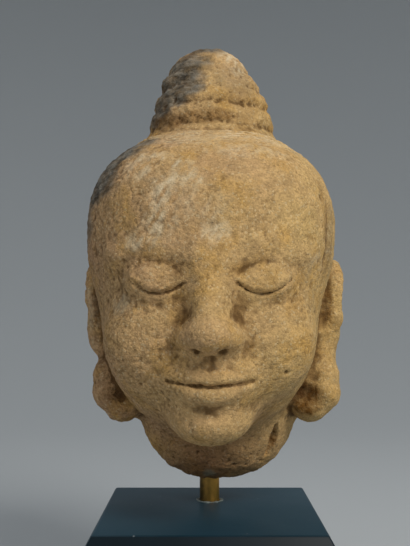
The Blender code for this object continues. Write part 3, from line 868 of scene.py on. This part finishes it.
# Pale patches of lime, most on the left of the forehead and round the foot of the knot
LIME = (
    ((-29, -50, 162), (13, 12, 9), 0.9),
    ((-13, -59, 156), (9, 10, 10), 0.9),
    ((-21, -60, 140), (9, 10, 14), 0.9),
    ((-29, -58, 128), (9, 10, 6), 0.7),
    ((-39, -50, 100), (6, 8, 5), 0.7),
    ((2, -62, 131), (7, 8, 7), 0.8),
    ((-2, -62, 142), (13, 8, 9), 0.35),
    ((-57, -2, 102), (6, 9, 20), 0.4),
    ((14, -48, 168), (22, 14, 5), 0.5),
    ((-6, -38, 176), (30, 14, 6), 0.4),
    ((30, -24, 176), (22, 20, 7), 0.35),
    ((13, -8, 221), (10, 10, 8), 1.0),
    ((45, -42, 118), (9, 8, 7), 0.5),
    ((30, 40, 150), (26, 26, 20), 0.5),
)
# Lime ran down to the left: points are turned and stretched along the run before the noise
# is read
STREAK_TURN = np.array(((1.3, 0.0, 0.25), (0.0, 1.0, 0.0), (-0.8, 0.0, 0.4)))
# Brown earth, and painted shade in recesses: dark brown in the rotted band, in the strip behind
# the right temple, beside the ears, between jaw and lobes and in the slot stands partly for earth
# held there and partly for the shade that falls in these hollows
EARTH_AND_SHADE = (
    ((-1, -26, 189.2), (22, 12, 4.0), 0.65),
    ((-20, -18, 188), (12, 12, 5), 0.7),
    ((18, -20, 198), (16, 12, 7), 0.35),
    ((-4, -52, 163), (13, 12, 9), 0.14),
    ((50, -36, 138), (5, 4, 19), 0.5),
    ((46, -14, 58), (9, 9, 12), 1.2),
    ((-44, -14, 56), (8, 9, 9), 0.3),
    ((-14, -9, 226), (10, 10, 5), 0.5),
    ((56.8, -5, 105), (4, 5, 14), 0.9),
    ((-54, -6, 104), (4, 5, 13), 0.15),
    ((30.2, -5.5, 36.5), (2.6, 4, 7), 1.2),
)
# Pale filler that was pressed in where the rod enters the neck
FILLER = (
    ((-0.3, -1.0, 18), (3.6, 8, 3.4), 0.7),
)
STREAK_WIDTH = 4.0
STAIN_LUMP = 9.0
STAIN_RAGGEDNESS = 0.35
FINE_ROUNDS = 6
DEEP_ROUNDS = 60
points = mesh_points(head)
edge_noise = STAIN_RAGGEDNESS * lumps(points, STAIN_LUMP, 4, 6)
paint(head, "soot_and_shade", stain(points, SOOT_AND_SHADE, edge_noise))
streaks = fade(lumps(points @ STREAK_TURN, STREAK_WIDTH, 4, 9), -0.5, 0.3)
paint(head, "lime", np.maximum(
    stain(points, LIME, edge_noise) * streaks, RING_LIME * rings_at(points)))
paint(head, "earth_and_shade", stain(points, EARTH_AND_SHADE, edge_noise))
paint(head, "filler", stain(points, FILLER, edge_noise))
paint(head, "fine_hollow", hollows(head, FINE_ROUNDS))
paint(head, "deep_hollow", hollows(head, DEEP_ROUNDS))

# A painted shadow on the neck: the middle of its front, under the chin, and a little of its back
# are painted darker and browner, partly the stone's own brown and partly painted shade
x, y, z = points.T
neck_shadow_and_brown = fade(z, 62, 46) * fade(y, -52, -40) * (0.05 + 0.95 * ridge(x + 2, 21))
paint(head, "neck_shadow_and_brown", np.where(y > 20, 0.4 * fade(z, 62, 46), neck_shadow_and_brown))

# Weathered ochre sandstone: open grain with dark and light specks, dirt and painted shade in the
# hollows, soot and lime over it in patches, a painted shadow, browner, on the neck under the chin,
# and stone painted pinker and darker towards the left, partly its own tone and partly painted shade.
# Real grains of such stone are about 0.3 mm across, and are drawn coarse enough to show.
sandstone, tree, shader = new_material("weathered ochre sandstone")
GRAIN = 0.8 * MM
PORE = 1.7 * MM
PORE_FIELD = 14 * MM
MOTTLE = 6 * MM
LIME_CRUST = 2.4 * MM
OCHRE_PATCH = 20 * MM
TONE_PATCH = 32 * MM
SOOT_STREAK = 9 * MM
place = add_node(tree, "ShaderNodeTexCoord").outputs["Object"]
across = add_node(tree, "ShaderNodeSeparateXYZ", {"Vector": place}).outputs["X"]
tone_noise = add_node(tree, "ShaderNodeTexNoise", {
    "Vector": place, "Scale": 1 / TONE_PATCH, "Detail": 4.0, "Roughness": 0.6})
# More dark pores towards the left: partly the stone's own pores, partly painted shade of raking light
# on that side
leftness = add_node(tree, "ShaderNodeMapRange", {
    "Value": across, "From Min": 5 * MM, "From Max": -45 * MM, "To Max": 0.10})
# The stone turns pinker and darker towards the left: partly its own tone, partly painted shade of the
# left side
pinkness = add_node(tree, "ShaderNodeMapRange", {
    "Value": across, "From Min": 50 * MM, "From Max": -50 * MM, "To Min": -0.25, "To Max": 0.3})
tone = add_node(tree, "ShaderNodeMath", {
    0: tone_noise.outputs["Fac"], 1: pinkness.outputs["Result"]}, operation="ADD", use_clamp=True)
stone = add_node(tree, "ShaderNodeMix", {
    AMOUNT: tone.outputs["Value"], UNDER: linear("#caa96c"), OVER: linear("#b28d68")},
    data_type="RGBA")
ochre_noise = add_node(tree, "ShaderNodeTexNoise", {
    "Vector": place, "Scale": 1 / OCHRE_PATCH, "Detail": 5.0, "Roughness": 0.65})
ochre_cover = add_node(tree, "ShaderNodeMapRange", {
    "Value": ochre_noise.outputs["Fac"], "From Min": 0.5, "From Max": 0.68, "To Max": 0.75})
toned = add_node(tree, "ShaderNodeMix", {
    AMOUNT: ochre_cover.outputs["Result"], UNDER: stone.outputs[MIXED], OVER: linear("#bd934f")},
    data_type="RGBA")
mottle = add_node(tree, "ShaderNodeTexNoise", {
    "Vector": place, "Scale": 1 / MOTTLE, "Detail": 5.0, "Roughness": 0.7})
mottle_light = add_node(tree, "ShaderNodeMapRange", {
    "Value": mottle.outputs["Fac"], "From Min": 0.3, "From Max": 0.7, "To Min": 0.77, "To Max": 1.14})
mottled = add_node(tree, "ShaderNodeMix", {
    AMOUNT: 1.0, UNDER: toned.outputs[MIXED], OVER: mottle_light.outputs["Result"]},
    data_type="RGBA", blend_type="MULTIPLY")
grains = add_node(tree, "ShaderNodeTexVoronoi", {
    "Vector": place, "Scale": 1 / GRAIN, "Randomness": 1.0})
chance = add_node(tree, "ShaderNodeSeparateXYZ", {"Vector": grains.outputs["Color"]})
grain_light = add_node(tree, "ShaderNodeMapRange", {
    "Value": chance.outputs["X"], "To Min": 0.80, "To Max": 1.15})
grained = add_node(tree, "ShaderNodeMix", {
    AMOUNT: 1.0, UNDER: mottled.outputs[MIXED], OVER: grain_light.outputs["Result"]},
    data_type="RGBA", blend_type="MULTIPLY")
light_grain = add_node(tree, "ShaderNodeMapRange", {
    "Value": chance.outputs["Z"], "From Min": 0.90, "From Max": 0.97, "To Max": 0.3})
lit_grains = add_node(tree, "ShaderNodeMix", {
    AMOUNT: light_grain.outputs["Result"], UNDER: grained.outputs[MIXED], OVER: linear("#e2d0a8")},
    data_type="RGBA")
pore_noise = add_node(tree, "ShaderNodeTexNoise", {"Vector": place, "Scale": 1 / PORE, "Detail": 3.0})
pore_field = add_node(tree, "ShaderNodeTexNoise", {
    "Vector": place, "Scale": 1 / PORE_FIELD, "Detail": 3.0})
field_reach = add_node(tree, "ShaderNodeMapRange", {
    "Value": pore_field.outputs["Fac"], "From Min": 0.35, "From Max": 0.65,
    "To Min": -0.08, "To Max": 0.05})
pore_base = add_node(tree, "ShaderNodeMath", {
    0: pore_noise.outputs["Fac"], 1: field_reach.outputs["Result"]}, operation="SUBTRACT")
pore_depth = add_node(tree, "ShaderNodeMath", {
    0: pore_base.outputs["Value"], 1: leftness.outputs["Result"]}, operation="SUBTRACT")
pore = add_node(tree, "ShaderNodeMapRange", {
    "Value": pore_depth.outputs["Value"], "From Min": 0.42, "From Max": 0.29, "To Max": 0.46})
speckled = add_node(tree, "ShaderNodeMix", {
    AMOUNT: pore.outputs["Result"], UNDER: lit_grains.outputs[MIXED], OVER: linear("#624723")},
    data_type="RGBA")

# Lime that ran down
lime = add_node(tree, "ShaderNodeAttribute", attribute_name="lime").outputs["Fac"]
lime_run = add_node(tree, "ShaderNodeMapping", {
    "Vector": place, "Rotation": (0, math.radians(36), 0), "Scale": (1, 1, 3)}, vector_type="TEXTURE")
lime_crust = add_node(tree, "ShaderNodeTexNoise", {
    "Vector": lime_run.outputs["Vector"], "Scale": 1 / LIME_CRUST, "Detail": 5.0, "Roughness": 0.7})
lime_held = add_node(tree, "ShaderNodeMapRange", {
    "Value": lime_crust.outputs["Fac"], "From Min": 0.40, "From Max": 0.68,
    "To Min": 0.25, "To Max": 0.9})
lime_cover = add_node(tree, "ShaderNodeMath", {
    0: lime, 1: lime_held.outputs["Result"]}, operation="MULTIPLY")
limed = add_node(tree, "ShaderNodeMix", {
    AMOUNT: lime_cover.outputs["Value"], UNDER: speckled.outputs[MIXED], OVER: linear("#ddccaa")},
    data_type="RGBA")

# Soot in streaks, and the painted shade on the right of the knot
soot_and_shade = add_node(tree, "ShaderNodeAttribute", attribute_name="soot_and_shade").outputs["Fac"]
streak_place = add_node(tree, "ShaderNodeMapping", {"Vector": place, "Scale": (1, 1, 3)})
streak = add_node(tree, "ShaderNodeTexNoise", {
    "Vector": streak_place.outputs["Vector"], "Scale": 1 / SOOT_STREAK,
    "Detail": 6.0, "Roughness": 0.7})
streak_light = add_node(tree, "ShaderNodeMapRange", {
    "Value": streak.outputs["Fac"], "From Min": 0.4, "From Max": 0.62})
soot_tint = add_node(tree, "ShaderNodeMix", {
    AMOUNT: streak_light.outputs["Result"], UNDER: linear("#3d362c"), OVER: linear("#807a6e")},
    data_type="RGBA")
grimy = add_node(tree, "ShaderNodeMapRange", {
    "Value": mottle.outputs["Fac"], "From Min": 0.35, "From Max": 0.62, "To Min": 0.3, "To Max": 1.0})
soot_hold = add_node(tree, "ShaderNodeMapRange", {
    "Value": mottle.outputs["Fac"], "From Min": 0.35, "From Max": 0.62, "To Min": 0.7, "To Max": 1.0})
soot_and_shade_cover = add_node(tree, "ShaderNodeMath", {
    0: soot_and_shade, 1: soot_hold.outputs["Result"]}, operation="MULTIPLY")
soot_and_shade_mixed = add_node(tree, "ShaderNodeMix", {
    AMOUNT: soot_and_shade_cover.outputs["Value"], UNDER: limed.outputs[MIXED], OVER: soot_tint.outputs[MIXED]},
    data_type="RGBA")

# Painted shadow and brown of the neck
neck_shadow_and_brown = add_node(tree, "ShaderNodeAttribute", attribute_name="neck_shadow_and_brown").outputs["Fac"]
neck_shadow_and_brown_tint = add_node(tree, "ShaderNodeMix", {
    AMOUNT: neck_shadow_and_brown, UNDER: linear("#ffffff"), OVER: linear("#cbbcbc")}, data_type="RGBA")
necked = add_node(tree, "ShaderNodeMix", {
    AMOUNT: 1.0, UNDER: soot_and_shade_mixed.outputs[MIXED], OVER: neck_shadow_and_brown_tint.outputs[MIXED]},
    data_type="RGBA", blend_type="MULTIPLY")

# Earth, and dirt with painted shade in hollows: darker in creases and deep recesses, where shade falls
fine_hollow = add_node(tree, "ShaderNodeAttribute", attribute_name="fine_hollow").outputs["Fac"]
deep_hollow = add_node(tree, "ShaderNodeAttribute", attribute_name="deep_hollow").outputs["Fac"]
earth_and_shade = add_node(tree, "ShaderNodeAttribute", attribute_name="earth_and_shade").outputs["Fac"]
hollow_earth_and_shade = add_node(tree, "ShaderNodeMapRange", {
    "Value": deep_hollow, "From Min": 0.3, "From Max": 1.8, "To Max": 0.55})
patchy_earth_and_shade = add_node(tree, "ShaderNodeMath", {
    0: earth_and_shade, 1: grimy.outputs["Result"]}, operation="MULTIPLY")
earth_and_shade_cover = add_node(tree, "ShaderNodeMath", {
    0: patchy_earth_and_shade.outputs["Value"], 1: hollow_earth_and_shade.outputs["Result"]}, operation="MAXIMUM")
earth_and_shade_mixed = add_node(tree, "ShaderNodeMix", {
    AMOUNT: earth_and_shade_cover.outputs["Value"], UNDER: necked.outputs[MIXED], OVER: linear("#6e4a1b")},
    data_type="RGBA")
# Painted shade with dirt: creases and deep hollows are painted dark brown
fine_dirt_and_shade = add_node(tree, "ShaderNodeMapRange", {
    "Value": fine_hollow, "From Min": 0.05, "From Max": 0.4, "To Max": 0.65})
deep_dirt_and_shade = add_node(tree, "ShaderNodeMapRange", {
    "Value": deep_hollow, "From Min": 1.3, "From Max": 3.2, "To Max": 0.8})
dirt_and_shade = add_node(tree, "ShaderNodeMath", {
    0: fine_dirt_and_shade.outputs["Result"], 1: deep_dirt_and_shade.outputs["Result"]}, operation="MAXIMUM")
dirt_and_shade_mixed = add_node(tree, "ShaderNodeMix", {
    AMOUNT: dirt_and_shade.outputs["Value"], UNDER: earth_and_shade_mixed.outputs[MIXED], OVER: linear("#472c10")},
    data_type="RGBA")
filler = add_node(tree, "ShaderNodeAttribute", attribute_name="filler").outputs["Fac"]
filled = add_node(tree, "ShaderNodeMix", {
    AMOUNT: filler, UNDER: dirt_and_shade_mixed.outputs[MIXED], OVER: linear("#a39a80")}, data_type="RGBA")

# Relief
grain_relief = add_node(tree, "ShaderNodeBump", {
    "Height": grains.outputs["Distance"], "Strength": 0.6, "Distance": 0.35 * MM}, invert=True)
pore_relief = add_node(tree, "ShaderNodeBump", {
    "Height": pore_noise.outputs["Fac"], "Normal": grain_relief.outputs["Normal"],
    "Strength": 0.7, "Distance": 0.8 * MM})
worn_relief = add_node(tree, "ShaderNodeBump", {
    "Height": mottle.outputs["Fac"], "Normal": pore_relief.outputs["Normal"],
    "Strength": 0.5, "Distance": 1.2 * MM})
tree.links.new(filled.outputs[MIXED], shader.inputs["Base Color"])
tree.links.new(worn_relief.outputs["Normal"], shader.inputs["Normal"])
shader.inputs["Roughness"].default_value = 0.92
shader.inputs["Specular IOR Level"].default_value = 0.25
head.data.materials.clear()
head.data.materials.append(sandstone)
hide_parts("stone_head")
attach(head, "root")


# Floor
# A plain pale table top that curves up into a backdrop all round, like a photographer's cove.
FLOOR_RADIUS = 0.7
COVE_RADIUS = 1.7
COVE_STEPS = 24
WALL_HEIGHT = 0.3
bpy.ops.mesh.primitive_circle_add(
    vertices=96, radius=FLOOR_RADIUS, fill_type="NGON", location=(0, 0, 0))
floor = bpy.context.object
floor.name = "floor"
pick(floor, "edges", lambda edge: True)
rim = FLOOR_RADIUS
for step in range(1, COVE_STEPS + 1):
    turn = math.pi / 2 * step / COVE_STEPS
    earlier = math.pi / 2 * (step - 1) / COVE_STEPS
    wider = FLOOR_RADIUS + COVE_RADIUS * math.sin(turn)
    rise = COVE_RADIUS * (math.cos(earlier) - math.cos(turn))
    bpy.ops.mesh.extrude_edges_move(TRANSFORM_OT_translate={"value": (0, 0, rise)})
    bpy.ops.transform.resize(value=(wider / rim, wider / rim, 1), center_override=(0, 0, 0))
    rim = wider
bpy.ops.mesh.extrude_edges_move(TRANSFORM_OT_translate={"value": (0, 0, WALL_HEIGHT)})
bpy.ops.object.mode_set(mode="OBJECT")
bpy.ops.object.shade_smooth()

# Matt paper: a cool pale grey with next to no gloss.
paper, tree, shader = new_material("pale matt paper")
shader.inputs["Base Color"].default_value = linear("#b4b9bc")
shader.inputs["Roughness"].default_value = 0.9
shader.inputs["Specular IOR Level"].default_value = 0.1
floor.data.materials.append(paper)


# Light
# One large soft key from the upper right in front, a weak fill from the left and a soft box
# overhead, in a dim even sky. Each lamp has its place, width, power and colour.
HEAD_MIDDLE = Vector((0, 0, 165 * MM))
SKY_STRENGTH = 0.30
LIGHTS = (
    ("key", (0.60, -0.82, 0.95), 0.55, 12.2, (1.0, 0.97, 0.92)),
    ("fill", (-0.9, -0.8, 0.20), 0.9, 2.6, (0.94, 0.97, 1.0)),
    ("top", (-0.2, 0.5, 1.9), 1.2, 7.0, (1.0, 1.0, 1.0)),
)
for name, spot, size, power, colour in LIGHTS:
    bpy.ops.object.light_add(type="AREA", location=spot)
    lamp = bpy.context.object
    lamp.name = name
    lamp.data.size = size
    lamp.data.energy = power
    lamp.data.color = colour
    lamp.rotation_euler = (HEAD_MIDDLE - lamp.location).to_track_quat("-Z", "Y").to_euler()
sky = bpy.data.worlds.new("soft sky")
sky.use_nodes = True
sky.node_tree.nodes["Background"].inputs["Color"].default_value = linear("#e6eaee")
sky.node_tree.nodes["Background"].inputs["Strength"].default_value = SKY_STRENGTH
bpy.context.scene.world = sky
bpy.context.scene.view_settings.view_transform = "Standard"

# Camera
# It stands straight in front, a little above the block, and looks slightly up.
FRAME_HEIGHT_PX = 546
FOCAL_PX = 840
TILT_PX = 44
SENSOR_HEIGHT_MM = 36
NEAREST_SEEN = 10 * MM
CAMERA_X = -2.3 * MM
CAMERA_FROM_ROD = 435 * MM
CAMERA_ABOVE_BLOCK = 93.4 * MM
bpy.ops.object.camera_add(
    location=(CAMERA_X, rod_y - CAMERA_FROM_ROD, block_high.z + CAMERA_ABOVE_BLOCK),
    rotation=(math.pi / 2 + math.atan(TILT_PX / FOCAL_PX), 0, 0))
camera = bpy.context.object
camera.data.sensor_fit = "VERTICAL"
camera.data.sensor_height = SENSOR_HEIGHT_MM
camera.data.lens = SENSOR_HEIGHT_MM * FOCAL_PX / FRAME_HEIGHT_PX
camera.data.clip_start = NEAREST_SEEN
bpy.context.scene.camera = camera

bpy.context.view_layer.update()
